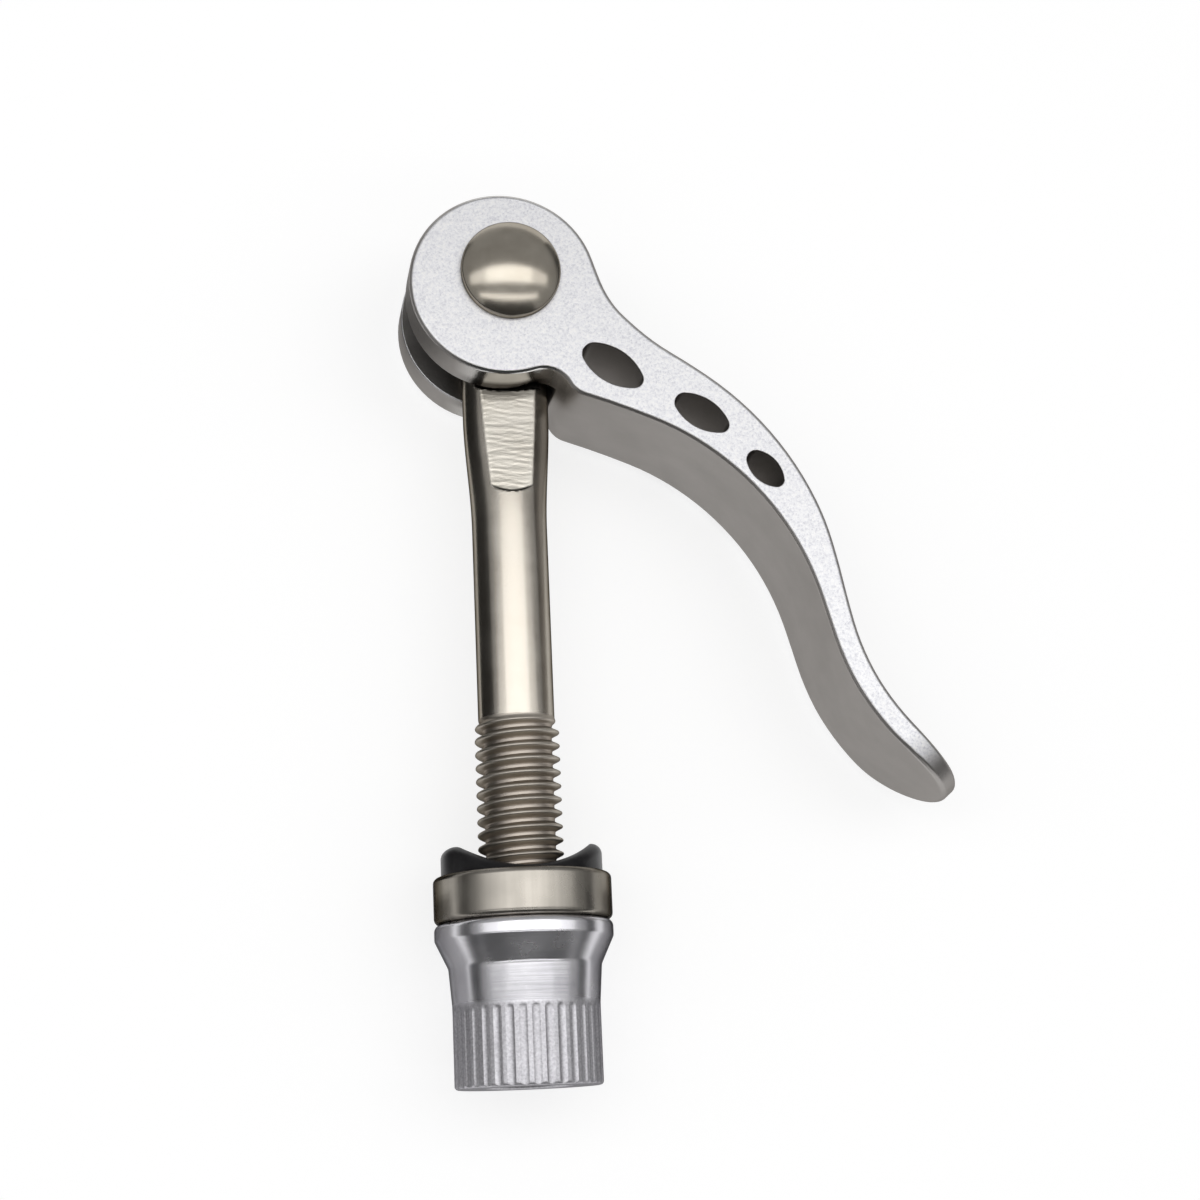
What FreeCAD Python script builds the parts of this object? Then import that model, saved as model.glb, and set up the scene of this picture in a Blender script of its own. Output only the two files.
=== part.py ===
import FreeCAD, Part
import math
import os
from FreeCAD import Vector

os.makedirs("parts", exist_ok=True)

# Quick release binder for a seatpost clamp, in millimetres, lying on its side.
# The bolt lies along Y with the lever's head at +Y, and the lever swings about a pin along Z.
# The origin is on the bolt's axis, at the middle of its plain shank.

# Bolt
thread_d = 7.86
shank_d = 7.1
shank_len = 20.2
thread_len = 32.4
thread_chamfer = 0.6
neck_w = 8.2
neck_taper = 8.0
eye_d = 13.0
eye_t = 5.5
flat_end_r = 4.0
flat_end = 16.0
flat_rise = 0.3

# Pivot
pivot_y = 31.0
pin_d = 6.0
dome_d = 9.4
dome_rim = 0.8
dome_h = 2.6
tail_d = 8.6
tail_rim = 0.5
tail_h = 1.7

# Lever
lever_w = 15.0
lever_reach = 64.0
lever_edge = 0.3
arm_angle = -49.8
cam_r = 8.9
cam_offset = 1.28
cam_angle = -119.6
shoulder_angle = 17.0
notch_r = 2.6
notch_angle = -72.2
corner_r = 2.5
corner_turn = 28.0
arm_heading = -18.0
arm_over_tip = 1.02
arc_fit = 0.05
tip_flare = 8.0
open_angle = 180.0

# Heights of the arm's two faces over the line from the pivot to the tip:
# share of the reach, outer face, inner face
arm_faces = [
    (0.164, 5.54, None),
    (0.223, 6.08, None),
    (0.298, 7.52, 0.45),
    (0.372, 8.33, 2.40),
    (0.447, 8.40, 3.33),
    (0.521, 7.68, 3.36),
    (0.595, 6.06, 2.49),
    (0.670, 3.46, 0.63),
    (0.744, 1.01, -1.54),
    (0.819, -0.37, -2.70),
    (0.893, -0.61, -2.84),
]
tip_outer = 0.40
tip_inner = -1.40

# Lightening holes: share of the reach, height over the line, length, width, tilt to the line
holes = [
    (0.204, 1.24, 6.3, 3.3, 16.8),
    (0.342, 4.57, 5.6, 2.9, 17.8),
    (0.465, 5.48, 4.2, 2.5, 3.8),
]

# Washers
cup_d = 16.3
cup_h = 4.25
cup_wall = 0.75
cup_floor = 1.2
cup_lip = 0.6
cup_foot = 0.4
saddle_rise = 2.6
saddle_land = 1.3
saddle_brow = 0.6
washer_bore = 8.7

# Nut
nut_y = -29.1
nut_len = 14.7
collar_d = 16.3
collar_band = 1.45
collar_cone = 2.5
collar_edge = 0.4
nut_neck_d = 13.9
grip_d = 13.4
grip_len = 7.35
bore_edge = 0.4
flutes = 36
flute_w = 0.84
flute_depth = 0.32

# Clearances
pin_play = 0.05
side_play = 0.15
slot_play = 0.4
saddle_play = 0.3
thread_play = 0.07


def polar(radius, degrees, about=Vector(0, 0, 0)):
    a = math.radians(degrees)
    return about + Vector(radius * math.cos(a), radius * math.sin(a), 0)


def rod(d, y0, y1):
    return Part.makeCylinder(d / 2, y1 - y0, Vector(0, y0, 0), Vector(0, 1, 0))


def pillar(d, z0, z1, at=Vector(0, 0, 0)):
    return Part.makeCylinder(d / 2, z1 - z0, Vector(at.x, at.y, z0), Vector(0, 0, 1))


def turned(corners):
    """Solid of revolution about Y from a closed outline of (radius, y) corners."""
    points = [Vector(r, y, 0) for r, y in corners]
    face = Part.Face(Part.makePolygon(points + points[:1]))
    return face.revolve(Vector(0, 0, 0), Vector(0, 1, 0), 360)


def export(shape, name):
    shape.exportStep("parts/" + name + ".step")
    box = shape.BoundBox
    print(name, len(shape.Solids), shape.isValid(), round(shape.Volume, 1), box)


half_w = lever_w / 2
half_eye = eye_t / 2
pivot = Vector(0, pivot_y, 0)
shank_top = shank_len / 2
shank_end = -shank_len / 2
bolt_end = shank_end - thread_len

# Eye bolt: a flat eye, an oval neck that fades into the round shank, and the thread to the end.
# The oval is drawn with four arcs, and a cone takes it down to the shank.
eye = pillar(eye_d, -half_eye, half_eye, pivot)
neck_len = pivot_y - shank_top
end_r = 0.9 * shank_d / 2
end_x = neck_w / 2 - end_r
side_r = (end_x ** 2 + shank_d ** 2 / 4 - end_r ** 2) / (shank_d - 2 * end_r)
lean = math.atan2(side_r - shank_d / 2, end_x)
join_x = end_x + end_r * math.cos(lean)
join_z = end_r * math.sin(lean)
top = shank_d / 2
oval = Part.Wire([
    Part.Arc(Vector(-join_x, 0, join_z), Vector(0, 0, top), Vector(join_x, 0, join_z)).toShape(),
    Part.Arc(Vector(join_x, 0, join_z), Vector(neck_w / 2, 0, 0), Vector(join_x, 0, -join_z)).toShape(),
    Part.Arc(Vector(join_x, 0, -join_z), Vector(0, 0, -top), Vector(-join_x, 0, -join_z)).toShape(),
    Part.Arc(Vector(-join_x, 0, -join_z), Vector(-neck_w / 2, 0, 0), Vector(-join_x, 0, join_z)).toShape(),
])
oval.translate(Vector(0, shank_top, 0))
neck = Part.Face(oval).extrude(Vector(0, neck_len, 0))
wide = shank_d / 2 + neck_len / neck_taper * (neck_w - shank_d) / 2
at = Vector(0, shank_top, 0)
neck = neck.common(Part.makeCone(shank_d / 2, wide, neck_len, at, Vector(0, 1, 0)))

# Two flats run down the neck from the eye, rise a little on the way and stop at a round ledge.
flat_low = pivot_y - flat_end
ledge = flat_low - flat_end_r
plan = Part.makeBox(eye_d, flat_end, 2 * shank_d, Vector(-eye_d / 2, flat_low, -shank_d))
plan = plan.fuse(pillar(2 * flat_end_r, -shank_d, shank_d, Vector(0, flat_low, 0)))
for side in (1, -1):
    corners = [
        Vector(-eye_d / 2, pivot_y, side * half_eye),
        Vector(-eye_d / 2, ledge, side * (half_eye + flat_rise)),
        Vector(-eye_d / 2, ledge, side * shank_d),
        Vector(-eye_d / 2, pivot_y, side * shank_d),
    ]
    wedge = Part.Face(Part.makePolygon(corners + corners[:1])).extrude(Vector(eye_d, 0, 0))
    neck = neck.cut(wedge.common(plan))
thread = turned([
    (0, shank_end),
    (shank_d / 2, shank_end),
    (thread_d / 2, shank_end - (thread_d - shank_d) / 2),
    (thread_d / 2, bolt_end + thread_chamfer),
    (thread_d / 2 - thread_chamfer, bolt_end),
    (0, bolt_end),
])
bolt = eye.fuse([neck, rod(shank_d, shank_end, shank_top), thread]).removeSplitter()
bolt = bolt.cut(pillar(pin_d + 2 * pin_play, -half_w, half_w, pivot))
export(bolt, "eye_bolt")

# Pivot pin: a shaft through both cheeks, a polished dome in front and a bevelled closed head behind.
pin = pillar(pin_d, -half_w, half_w, pivot)
rise = dome_h - dome_rim
ball_r = (dome_d ** 2 / 4 + rise ** 2) / (2 * rise)
ball = Part.makeSphere(ball_r, Vector(0, pivot_y, half_w + dome_h - ball_r))
dome = pillar(dome_d, half_w, half_w + dome_h, pivot).common(ball)
tail = pillar(tail_d, -half_w - tail_rim, -half_w, pivot)
bevel_r = tail_d / 2 - (tail_h - tail_rim)
tail_z = Vector(0, pivot_y, -half_w - tail_h)
bevel = Part.makeCone(bevel_r, tail_d / 2, tail_h - tail_rim, tail_z, Vector(0, 0, 1))
pin = pin.fuse([dome, tail, bevel])
export(pin.removeSplitter(), "pivot_pin")


def over_line(share, height):
    """Point at a share of the lever's reach, at a height over the line from the pivot to the tip."""
    return polar(share * lever_reach, arm_angle) + polar(height, arm_angle + 90)


# Cam lever: one outline pushed straight through, forked for the eye, with a half-round finger end.
# The arm's two faces are smooth curves through the stations, drawn as runs of touching arcs.
cam = polar(cam_offset, cam_angle)
head_in = polar(cam_r, shoulder_angle, cam)
head_out = polar(cam_r, notch_angle, cam)
head_far = polar(cam_r, (shoulder_angle + notch_angle) / 2 + 180, cam)
notch = polar(cam_r + notch_r, notch_angle, cam)
notch_out = polar(notch_r, corner_turn, notch)
notch_mid = polar(notch_r, (notch_angle + 180 + corner_turn) / 2, notch)
corner = polar(notch_r + corner_r, corner_turn, notch)
corner_out = polar(corner_r, arm_heading - 90, corner)
corner_mid = polar(corner_r, (corner_turn - 180 + arm_heading - 90) / 2, corner)
end_outer = over_line(arm_over_tip, tip_outer)
end_inner = over_line(arm_over_tip, tip_inner)
inner_points = [corner_out] + [over_line(s, low) for s, high, low in arm_faces[2:]] + [end_inner]
outer_points = [end_outer] + [over_line(s, high) for s, high, low in reversed(arm_faces)] + [head_in]
inner_face = Part.BSplineCurve()
inner_face.interpolate(
    Points=inner_points,
    InitialTangent=polar(1, arm_heading),
    FinalTangent=polar(1, arm_angle + tip_flare),
)
outer_face = Part.BSplineCurve()
outer_face.interpolate(
    Points=outer_points,
    InitialTangent=polar(1, arm_angle + 180 + tip_flare),
    FinalTangent=polar(1, shoulder_angle + 90),
)
outline = Part.Wire([
    Part.Arc(head_in, head_far, head_out).toShape(),
    Part.Arc(head_out, notch_mid, notch_out).toShape(),
    Part.Arc(notch_out, corner_mid, corner_out).toShape(),
    *[arc.toShape() for arc in inner_face.toBiArcs(arc_fit)],
    Part.makeLine(end_inner, end_outer),
    *[arc.toShape() for arc in outer_face.toBiArcs(arc_fit)],
])
lever = Part.Face(outline).extrude(Vector(0, 0, lever_w))
lever.translate(Vector(0, 0, -half_w))

# The finger end is round across the whole width of the arm.
tongue_at = lever_reach - half_w
blade = 2 * half_w
trim = Part.makeBox(lever_reach, 2 * blade, 2 * blade, Vector(tongue_at, -blade, -blade))
trim = trim.cut(Part.makeCylinder(half_w, 2 * blade, Vector(tongue_at, -blade, 0), Vector(0, 1, 0)))
trim.rotate(Vector(0, 0, 0), Vector(0, 0, 1), arm_angle)
lever = lever.cut(trim)
rims = []
for edge in lever.Edges:
    half_way = (edge.FirstParameter + edge.LastParameter) / 2
    if abs(edge.tangentAt(half_way).z) < 0.95:
        rims.append(edge)
lever = lever.makeChamfer(lever_edge, rims)

# The fork clears the eye all round, and the neck from the folded to the open position.
half_slot = half_eye + side_play
slot_w = neck_w + 2 * slot_play
depth = 2 * (cam_r + cam_offset)
slot = pillar(eye_d + 2 * slot_play, -half_slot, half_slot)
strip = Part.makeBox(slot_w, depth, 2 * half_slot, Vector(-slot_w / 2, -depth, -half_slot))
opened = strip.copy()
opened.rotate(Vector(0, 0, 0), Vector(0, 0, 1), -open_angle)
swept = Part.makeCylinder(depth, 2 * half_slot, Vector(0, 0, -half_slot), Vector(0, 0, 1), open_angle)
swept.rotate(Vector(0, 0, 0), Vector(0, 0, 1), -90 - open_angle)
slot = slot.fuse([strip, opened, swept]).removeSplitter()
lever = lever.cut(slot)
lever = lever.cut(pillar(pin_d, -lever_w, lever_w))

# Each lightening hole is a blunt leaf: two long sides, a broad end and a narrow end.
leaf = [
    (-0.42, 0.28),
    (-0.03, 0.5),
    (0.44, 0.22),
    (0.5, 0),
    (0.44, -0.22),
    (-0.03, -0.5),
    (-0.42, -0.28),
    (-0.5, 0),
]
for share, height, length, width, tilt in holes:
    turn = arm_angle + tilt
    middle = over_line(share, height)
    ring = []
    for along, across in leaf:
        ring.append(middle + polar(along * length, turn) + polar(across * width, turn + 90))
    sides = [
        Part.Arc(ring[0], ring[1], ring[2]).toShape(),
        Part.Arc(ring[2], ring[3], ring[4]).toShape(),
        Part.Arc(ring[4], ring[5], ring[6]).toShape(),
        Part.Arc(ring[6], ring[7], ring[0]).toShape(),
    ]
    hole = Part.Face(Part.Wire(sides)).extrude(Vector(0, 0, 2 * lever_w))
    hole.translate(Vector(0, 0, -lever_w))
    lever = lever.cut(hole)
lever.translate(pivot)
export(lever, "cam_lever")

# Cup washer: stands on the nut, with a thin lip bevelled on the outside.
cup_r = cup_d / 2
saddle_r = cup_r - cup_wall
cup_top = nut_y + cup_h
cup = turned([
    (washer_bore / 2, nut_y),
    (cup_r - cup_foot, nut_y),
    (cup_r, nut_y + cup_foot),
    (cup_r, cup_top - cup_lip),
    (cup_r - cup_lip, cup_top),
    (saddle_r, cup_top),
    (saddle_r, nut_y + cup_floor),
    (washer_bore / 2, nut_y + cup_floor),
])
export(cup, "cup_washer")

# Saddle washer: fills the cup and rises over it, hollowed to the cam's round.
saddle_top = cup_top + saddle_rise
saddle = turned([
    (0, nut_y + cup_floor),
    (saddle_r, nut_y + cup_floor),
    (saddle_r, saddle_top - saddle_brow),
    (saddle_r - saddle_brow, saddle_top),
    (0, saddle_top),
])
seat_r = cam_r + saddle_play
seat_y = saddle_top + math.sqrt(seat_r ** 2 - (saddle_r - saddle_land) ** 2)
saddle = saddle.cut(pillar(2 * seat_r, -cup_d, cup_d, Vector(0, seat_y, 0)))
saddle = saddle.cut(rod(washer_bore, nut_y, saddle_top))
export(saddle, "saddle_washer")

# Nut: a collar with a cone under it, a slightly tapered neck and a grip with V-shaped flutes.
nut_end = nut_y - nut_len
grip_y = nut_end + grip_len
bore_r = thread_d / 2 + thread_play
nut = turned([
    (bore_r, nut_y),
    (collar_d / 2 - collar_edge, nut_y),
    (collar_d / 2, nut_y - collar_edge),
    (collar_d / 2, nut_y - collar_band),
    (nut_neck_d / 2, nut_y - collar_band - collar_cone),
    (grip_d / 2, grip_y),
    (grip_d / 2, nut_end),
    (bore_r + bore_edge, nut_end),
    (bore_r, nut_end + bore_edge),
])
rim_r = grip_d / 2
groove = Part.makePolygon([
    Vector(0, nut_end, rim_r - flute_depth),
    Vector(flute_w, nut_end, rim_r + flute_depth),
    Vector(-flute_w, nut_end, rim_r + flute_depth),
    Vector(0, nut_end, rim_r - flute_depth),
])
flute = Part.Face(groove).extrude(Vector(0, grip_len - flute_w, 0))
cutters = []
for k in range(flutes):
    cutter = flute.copy()
    cutter.rotate(Vector(0, 0, 0), Vector(0, 1, 0), k * 360 / flutes)
    cutters.append(cutter)
nut = nut.cut(cutters)
export(nut, "fluted_nut")
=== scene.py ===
# %% [markdown]
# A quick release binder for a seatpost clamp, dressed for the camera.
# The real object is a small lever with a round cam head, an eye bolt that hangs on a pin in the
# fork of that head, two washers and a fluted nut. The solids are already packed in one frame:
# the bolt lies along Y, the pin stands along Z, and the arm reaches out to +X.
# This lesson loads that frame first, because every surface below is placed by its sizes.
# All lengths below are in millimetres unless a comment says otherwise.

# %% Load the packed frame
import math

import bmesh
import bpy
import numpy as np
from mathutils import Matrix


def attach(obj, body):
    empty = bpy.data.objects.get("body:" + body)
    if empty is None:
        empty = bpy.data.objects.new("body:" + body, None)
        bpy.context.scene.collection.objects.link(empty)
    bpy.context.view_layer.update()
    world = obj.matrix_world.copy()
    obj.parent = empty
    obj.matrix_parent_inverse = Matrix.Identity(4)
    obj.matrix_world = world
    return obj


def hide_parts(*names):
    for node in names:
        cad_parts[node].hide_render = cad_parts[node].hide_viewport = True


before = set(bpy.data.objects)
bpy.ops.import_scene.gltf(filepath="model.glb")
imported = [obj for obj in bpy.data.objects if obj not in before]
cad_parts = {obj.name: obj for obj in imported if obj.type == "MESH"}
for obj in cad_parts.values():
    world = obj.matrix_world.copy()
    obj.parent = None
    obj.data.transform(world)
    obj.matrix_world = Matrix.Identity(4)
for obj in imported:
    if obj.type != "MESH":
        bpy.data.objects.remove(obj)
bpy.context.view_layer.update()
MM = 0.001

# %% [markdown]
# The bolt's lower half is rolled with a coarse thread of 1.25 mm pitch, a little wider than the
# shank. A helix could be modelled as a swept strip, but then its ends hang open. So the thread is
# given as a radius for each angle and height: crest, flank and root, fading out towards the shank
# and cut by a chamfer at the bolt's end. The end is smaller than the root, so its rim is round.

# %% The bolt's thread: its formula
SHANK_R = 3.55
CREST_R = 3.93
ROOT_R = 3.22
PITCH = 1.25
THREAD_TOP = -10.25
BOLT_END = -42.5
CREST_Y = -13.23
CREST_SHARE = 0.14
FLANK_SHARE = 0.62
STRAIGHT = 0.65
RUN_OUT = 1.1
TIP_R = 3.15


def ease(t):
    """Smooth step from 0 to 1: three t squared less two t cubed."""
    t = np.clip(t, 0, 1)
    return t * t * (3 - 2 * t)


def thread_radius(angle, y):
    """Distance to the axis on the thread: crest radius less the flank's fall, where the fall grows
    with the distance from the helix y = crest + pitch x turns, fading out towards the shank."""
    phase = (y - CREST_Y) / PITCH - angle / (2 * np.pi)
    away = 2 * np.abs(phase - np.round(phase))
    fall = np.clip((away - CREST_SHARE) / FLANK_SHARE, 0, 1)
    flank = STRAIGHT * fall + (1 - STRAIGHT) * ease(fall)
    r = CREST_R - (CREST_R - ROOT_R) * flank
    r = SHANK_R + (r - SHANK_R) * ease((THREAD_TOP - y) / RUN_OUT)
    return np.minimum(r, TIP_R + (y - BOLT_END))


print("thread depth in mm:", round(CREST_R - ROOT_R, 2))

# %% [markdown]
# On level rows a sloping crest would look like a saw, unless the rows were very many. Here the rows
# climb with the helix, so the crest follows one row, and rows that would run past either end are
# held on the end ring, where they merge. A few rings close the bolt's end.

# %% The bolt's thread: its rows
ROWS_PER_TURN = 14
BOLT_SIDES = 160
TIP_RINGS = [[1.0], [0.97], [0.5], [0.0]]


def circle(sides):
    """Angles of one full turn, the last on the first."""
    return np.linspace(0, 2 * np.pi, sides + 1)


def lathe_points(r, y, a):
    """Points at radius r, height y and angle a about the bolt: x is r sin a, and z is r cos a."""
    r, y, a = np.broadcast_arrays(r, y, a)
    return np.stack([r * np.sin(a), y, r * np.cos(a)], -1)


around = circle(BOLT_SIDES)
turns = (THREAD_TOP - BOLT_END) / PITCH + 1
row = np.arange(math.ceil(turns * ROWS_PER_TURN) + 1)[:, None]
thread_y = THREAD_TOP - row * PITCH / ROWS_PER_TURN + PITCH * around / (2 * np.pi)
thread_y = np.clip(thread_y, BOLT_END, THREAD_TOP)
thread_grid = lathe_points(thread_radius(around, thread_y), thread_y, around)
tip_r = thread_radius(around, BOLT_END) * np.array(TIP_RINGS)
tip_grid = lathe_points(tip_r, BOLT_END, around)
print("thread turns:", round(turns - 1, 1), "rows:", len(row))

# %% [markdown]
# Near the eye a press has struck a flat on both sides of the bolt. It ends below in a curved ledge
# and above in a second, lower one, and the strokes left ripples across it. A displacement texture
# could give the ripples, but a sum of bent sines puts them into the mesh itself.

# %% The struck flats
FLAT_TOP = 20.85
FLAT_LOW = 11.0
UPPER_BOW = 0.035
LOWER_BOW = 0.13
FLAT_HEIGHT = 2.64
FLAT_RISE = 0.41
RIPPLE_HEIGHT = 0.004
RECESS_DEPTH = 0.4
RECESS_STEP = 0.12
RECESS_LEN = 1.2
EYE_FACE = 3.1
EYE_RAMP = 0.6
LEDGE_RISE = 1.2
LEDGE_LEN = 0.5
# Each wave: its share, its speed along y and x, and how far and how fast its phase bends.
WAVES = [
    (1.0, 9.3, 0.8, 1.1, 1.7, 2.1),
    (0.6, 14.9, -1.3, 1.4, 2.9, -1.2),
]


def ripples(x, y):
    """Sum of sines that run along y and lean with x; another sine of x and y bends each phase."""
    return sum(
        share * np.sin(along * y + lean * x + bend * np.sin(bend_x * x + bend_y * y))
        for share, along, lean, bend, bend_x, bend_y in WAVES
    )


def flat_height(x, y):
    """Height of the struck flat: a slope with ripples, stepped down and then up to the eye's face
    above an arc, and released to the round neck below an arc."""
    upper = FLAT_TOP + UPPER_BOW * x ** 2
    lower = FLAT_LOW + LOWER_BOW * x ** 2
    slope = FLAT_HEIGHT + FLAT_RISE * (FLAT_TOP - y) / (FLAT_TOP - FLAT_LOW)
    slope = slope + RIPPLE_HEIGHT * ripples(x, y)
    to_eye = ease((y - upper - RECESS_LEN) / EYE_RAMP)
    step = ease((y - upper) / RECESS_STEP)
    release = ease((lower - y) / LEDGE_LEN)
    return slope + (EYE_FACE - slope) * to_eye - RECESS_DEPTH * step + LEDGE_RISE * release


flat_ends = [round(float(flat_height(0, end)), 2) for end in (FLAT_LOW, FLAT_TOP)]
print("flat's height in mm, below and above:", flat_ends)

# %% [markdown]
# Above the thread the bolt is a plain round shank, which swells into an oval towards the eye. It
# could be lofted between sections, but one polar formula also takes in the flats: the oval's radius,
# cut by the distance to the flat. The rows lie close together only where the flats are.

# %% The bolt's shank and neck
NECK_TOP = 26.8
TAPER_LOW = 8.0
TAPER_LEN = 11.0
NECK_HALF_W = 4.1
NECK_HALF_T = 3.4
LEAST_FACING = 0.2
FLAT_EDGE = 0.06
CLOSE_LOW = 10.0
CLOSE_TOP = 22.5
GAP_BELOW = 0.1
GAP_ABOVE = 0.2
SHANK_ROWS = 30
FLAT_ROWS = 136
TOP_ROWS = 9


def soft_min(a, b, blend):
    """The smaller of two values, with the kink between them rounded over about blend."""
    h = np.clip(0.5 + (b - a) / (2 * blend), 0, 1)
    return b + (a - b) * h - blend * h * (1 - h)


def neck_radius(angle, y):
    """Polar radius of the oval, less where the flat cuts it: flat height over the cosine."""
    swell = ease((y - TAPER_LOW) / TAPER_LEN)
    half_w = SHANK_R + (NECK_HALF_W - SHANK_R) * swell
    half_t = SHANK_R + (NECK_HALF_T - SHANK_R) * swell
    oval = 1 / np.hypot(np.sin(angle) / half_w, np.cos(angle) / half_t)
    facing = np.maximum(np.abs(np.cos(angle)), LEAST_FACING)
    return soft_min(oval, flat_height(oval * np.sin(angle), y) / facing, FLAT_EDGE)


neck_y = np.concatenate([
    np.linspace(THREAD_TOP, CLOSE_LOW - GAP_BELOW, SHANK_ROWS),
    np.linspace(CLOSE_LOW, CLOSE_TOP, FLAT_ROWS),
    np.linspace(CLOSE_TOP + GAP_ABOVE, NECK_TOP, TOP_ROWS),
])[:, None]
neck_r = neck_radius(around, neck_y)
neck_r[0] = SHANK_R
neck_r = np.concatenate([neck_r, 0 * neck_r[:1]])
neck_y = np.concatenate([neck_y, neck_y[-1:]])
neck_grid = lathe_points(neck_r, neck_y, around)
print("neck rows:", len(neck_grid), "widest radius in mm:", round(float(neck_r.max()), 2))

# %% [markdown]
# The thread, the end and the neck are grids of points now: one parameter runs along the piece, the
# other round it. Blender could turn a profile with the Screw modifier, but then a thread or a flute
# would need booleans. A grid takes any formula, so one helper makes all the meshes: it joins
# neighbouring points into faces, and merges the points that fall together at seams and poles.

# %% From grids of points to a mesh
MERGE_DISTANCE = 2e-7  # in metres
CREASE = 38  # in degrees, as the others
SHAFT_CREASE = 50


def grid_faces(rows, columns, first):
    """Corner numbers of the four-sided faces between neighbouring rows and columns."""
    index = first + np.arange(rows * columns).reshape(rows, columns)
    corners = [index[:-1, :-1], index[1:, :-1], index[1:, 1:], index[:-1, 1:]]
    return np.stack(corners, -1).reshape(-1, 4)


def put_in(name, data):
    """An object in the scene for a mesh, a lamp or a camera, at the origin."""
    thing = bpy.data.objects.new(name, data)
    bpy.context.scene.collection.objects.link(thing)
    return thing


def skin(name, grids, crease=CREASE):
    """Closed mesh object from grids of points in millimetres; edges sharper than crease stay sharp."""
    firsts = np.cumsum([0] + [g.shape[0] * g.shape[1] for g in grids])
    points = np.concatenate([g.reshape(-1, 3) for g in grids]) * MM
    faces = np.concatenate([grid_faces(*g.shape[:2], f) for g, f in zip(grids, firsts)])
    mesh = bpy.data.meshes.new(name)
    mesh.from_pydata(points.tolist(), [], faces.tolist())
    shell = bmesh.new()
    shell.from_mesh(mesh)
    bmesh.ops.remove_doubles(shell, verts=shell.verts[:], dist=MERGE_DISTANCE)
    bmesh.ops.recalc_face_normals(shell, faces=shell.faces[:])
    loose = sum(1 for e in shell.edges if len(e.link_faces) != 2)
    shell.to_mesh(mesh)
    shell.free()
    mesh.shade_smooth()
    mesh.set_sharp_from_angle(angle=math.radians(crease))
    print(name, "faces:", len(mesh.polygons), "open edges:", loose)
    return put_in(name, mesh)


shaft = skin("bolt_shaft", [thread_grid, tip_grid, neck_grid], SHAFT_CREASE)

# %% [markdown]
# The finish of the bolt changes from place to place: bright where the press struck, painted black
# as shade in the recess above the flat and in a line along the lower ledge, and darker in the
# thread's valleys. A material could find these places by coordinates, but the mesh knows them
# better, so each point gets four shares as attributes.

# %% Where the bolt is struck, painted with shade, and darker in the thread
LEDGE_REACH = 0.4
NEAR_FLAT = 0.14
FLAT_FADE = 0.1
GAP_FADE = 0.25
GAP_LEN = 1.4
GAP_END = 0.5
LINE_DROP = 0.12
LINE_HALF = 0.26
LINE_EDGE = 1.6
LINE_SHARE = 0.85
LINE_REACH = 2.7
LINE_FADE = 0.6
where = np.empty(3 * len(shaft.data.vertices), np.float32)
shaft.data.vertices.foreach_get("co", where)
x, y, z = where.reshape(-1, 3).T / MM
off_flat = np.abs(np.abs(z) - flat_height(x, y))
on_flat = (y > FLAT_LOW - LEDGE_REACH) * ease((NEAR_FLAT - off_flat) / FLAT_FADE)
above = y - FLAT_TOP - UPPER_BOW * x ** 2
# painted shade: black in the recess above the flat, and in a line along the lower ledge
gap = on_flat * ease(above / GAP_FADE) * ease((GAP_LEN - above) / GAP_END)
off_ledge = np.abs(y - FLAT_LOW - LOWER_BOW * x ** 2 + LINE_DROP)
ledge = on_flat * ease(LINE_EDGE * (1 - off_ledge / LINE_HALF))
gap = np.maximum(gap, LINE_SHARE * ledge * ease((LINE_REACH - np.abs(x)) / LINE_FADE))
threaded = y < THREAD_TOP
valley = np.clip((CREST_R - np.hypot(x, z)) / (CREST_R - ROOT_R), 0, 1) * threaded * (y > BOLT_END)
marks = {"struck": on_flat, "gap": gap, "valley": valley, "threaded": threaded}
for label, share in marks.items():
    mark = shaft.data.attributes.new(label, "FLOAT", "POINT")
    mark.data.foreach_set("value", share.astype(np.float32))
    print(label, "covers", round(100 * float(share.mean())), "% of the points")

# %% [markdown]
# Metal parts never have razor edges: a turned edge is broken with a file or by tumbling.
# So each turned outline is drawn with plain corners, and one formula rounds them all at once.
# A Bevel modifier would also do it, but here the radius of each corner is given one by one.

# %% Outlines with rounded corners
ARC_STEPS = 7
GUARD = 0.03
PER_CORNER = ARC_STEPS + 2


def unit(v):
    """Vectors of length one in the same directions."""
    return v / np.linalg.norm(v, axis=1, keepdims=True)


def rounded(corners):
    """Closed outline from corners of radius, height and rounding: each arc touches both sides of its
    corner, and turns from one touching point to the other; a guard point keeps each side flat."""
    p = np.array(corners, float)[:, :2]
    r = np.array(corners, float)[:, 2:]
    a = unit(np.roll(p, 1, 0) - p)
    b = unit(np.roll(p, -1, 0) - p)
    opening = np.arccos(np.clip((a * b).sum(1, keepdims=True), -1, 1))
    cut = r / np.tan(opening / 2)
    centre = p + unit(a + b) * r / np.sin(opening / 2)
    sweep = (np.pi - opening)[:, None]
    t = np.linspace(0, 1, ARC_STEPS)[None, :, None]
    start = (p + a * cut - centre)[:, None]
    stop = (p + b * cut - centre)[:, None]
    arc = (np.sin((1 - t) * sweep) * start + np.sin(t * sweep) * stop) / np.sin(sweep)
    before = (p + a * (cut + GUARD))[:, None]
    after = (p + b * (cut + GUARD))[:, None]
    return np.concatenate([before, centre[:, None] + arc, after], 1).reshape(-1, 2)


square = rounded([(0, 0, 0.1), (1, 0, 0.1), (1, 1, 0.1), (0, 1, 0.1)])
print("a square with rounded corners has", len(square), "points")

# %% [markdown]
# The eye at the bolt's top is a flat ring that sits in the lever's fork. It is turned about the
# pin, so it is the one part of the bolt that needs a second axis. A torus would be too round: the
# real ring has flat faces, which slide between the cheeks. So its outline is carried round the
# bolt's axis, as for every turned piece, and the ring is then stood up along the pin.

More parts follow.
